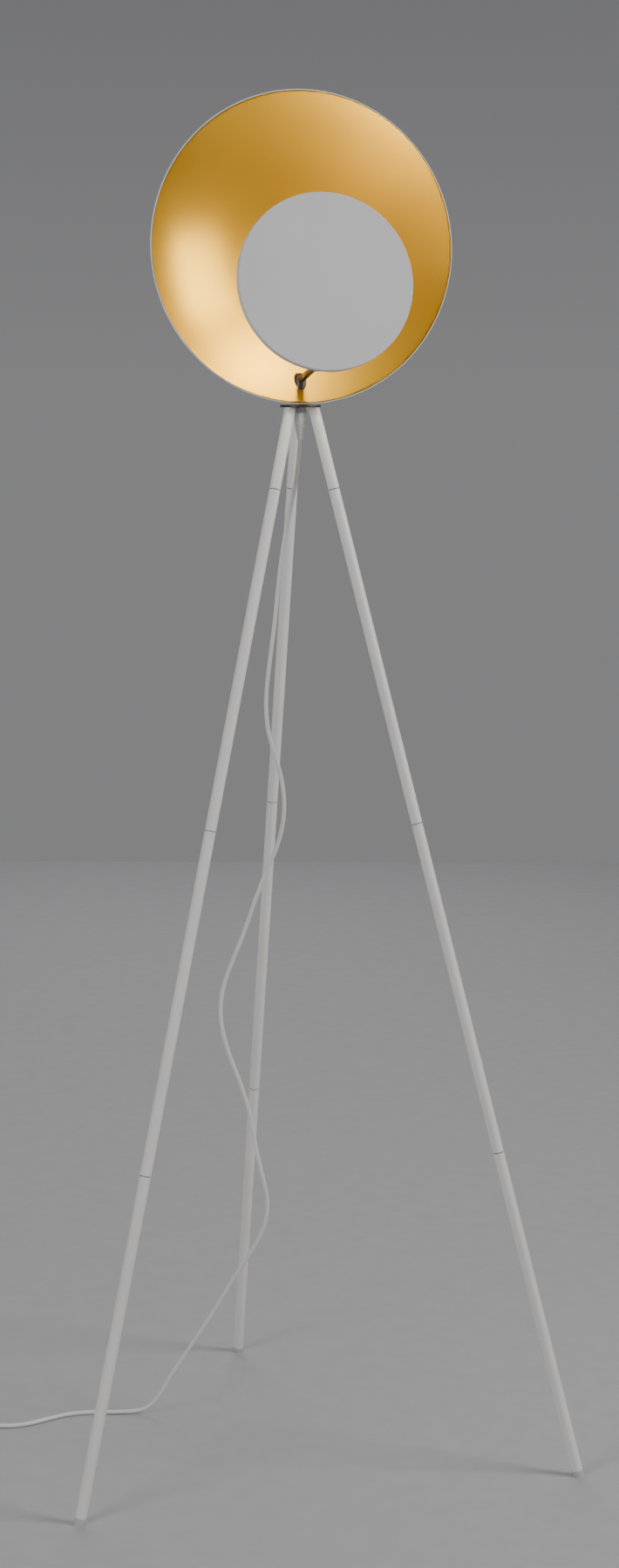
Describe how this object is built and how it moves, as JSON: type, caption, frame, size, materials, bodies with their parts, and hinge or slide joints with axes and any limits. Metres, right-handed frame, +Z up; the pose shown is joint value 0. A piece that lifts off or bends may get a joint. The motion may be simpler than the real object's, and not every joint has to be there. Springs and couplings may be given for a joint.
{
  "type": "floor lamp",
  "caption": "Tripod floor lamp with slim splayed tube legs, a turning dish reflector, a small round bulb behind a tilting front disc, and a cord with foot switch and plug.",
  "frame": {"origin": "on the floor, under the middle of the lamp's box without its cord", "axes": "+Z up; the dish faces -Y; the odd leg stands towards +Y; the lamp without its cord is the same on both sides of X = 0"},
  "size_m": [0.7735, 0.5318, 1.6128],
  "materials": {
    "leg_paint": "white powder coat, satin",
    "dish_paint": "warm gold lacquer, satin inside; plain white outside",
    "disc_paint": "white powder coat, matt",
    "dark_metal": "dark bronze paint, satin",
    "zinc_steel": "zinc or nickel plated steel",
    "brass": "plain brass",
    "foot_plastic": "moulded, light grey",
    "white_plastic": "moulded, satin white",
    "dark_plastic": "moulded, black",
    "friction_plastic": "plain nylon",
    "cord_sheath": "round white flexible sheath",
    "frosted_glass": "frosted, glowing warm white"
  },
  "bodies": {
    "tripod": {"leg_lower_front_left": "leg_paint", "leg_middle_front_left": "leg_paint", "leg_upper_front_left": "leg_paint", "leg_stub_front_left": "leg_paint", "leg_joiners_front_left": "zinc_steel", "foot_front_left": "foot_plastic", "leg_lower_front_right": "leg_paint", "leg_middle_front_right": "leg_paint", "leg_upper_front_right": "leg_paint", "leg_stub_front_right": "leg_paint", "leg_joiners_front_right": "zinc_steel", "foot_front_right": "foot_plastic", "leg_lower_rear": "leg_paint", "leg_middle_rear": "leg_paint", "leg_upper_rear": "leg_paint", "leg_stub_rear": "leg_paint", "leg_joiners_rear": "zinc_steel", "foot_rear": "foot_plastic", "hub_plate": "dark_metal", "swivel_stem": "zinc_steel", "stem_washer": "zinc_steel", "stem_nut": "zinc_steel", "stem_circlip": "zinc_steel", "cord_grip": "white_plastic", "stem_lead": "cord_sheath", "cord_drop": "cord_sheath", "cord_lead": "cord_sheath", "cord_tail": "cord_sheath", "cord_coil": "cord_sheath", "switch_base": "white_plastic", "switch_cover": "white_plastic", "switch_unit": "dark_plastic", "plug_body": "white_plastic", "plug_pins": "zinc_steel"},
    "head": {"friction_washer": "friction_plastic", "dish": "dish_paint", "saddle": "dark_metal", "saddle_grub_screw": "zinc_steel", "knuckle": "dark_metal", "knuckle_cap": "dark_metal", "arm": "dark_metal", "arm_lead": "cord_sheath", "holder_block": "dark_metal", "lamp_holder": "dark_plastic", "socket_shell": "brass", "bulb_cap": "zinc_steel", "bulb_collar": "white_plastic", "bulb_globe": "frosted_glass", "stay": "dark_metal"},
    "disc": {"front_disc": "disc_paint", "disc_clevis": "dark_metal", "hinge_screw": "zinc_steel", "hinge_nut": "brass"},
    "button": {"switch_button": "white_plastic"}
  },
  "joints": [
    {"name": "head_swivel", "type": "hinge", "parent": "tripod", "child": "head", "pos_m": [0, -0.08637, 1.25755], "axis": [0, 0, 1], "range_deg": [-165, 165]},
    {"name": "disc_tilt", "type": "hinge", "parent": "head", "child": "disc", "pos_m": [0, -0.21095, 1.32064], "axis": [1, 0, 0], "range_deg": [-12, 18]},
    {"name": "switch_button_press", "type": "slide", "parent": "tripod", "child": "button", "axis": [0, 0, -1], "range_m": [0, 0.0025], "stiffness_N_per_m": 800, "springref_m": -0.0015}
  ]
}
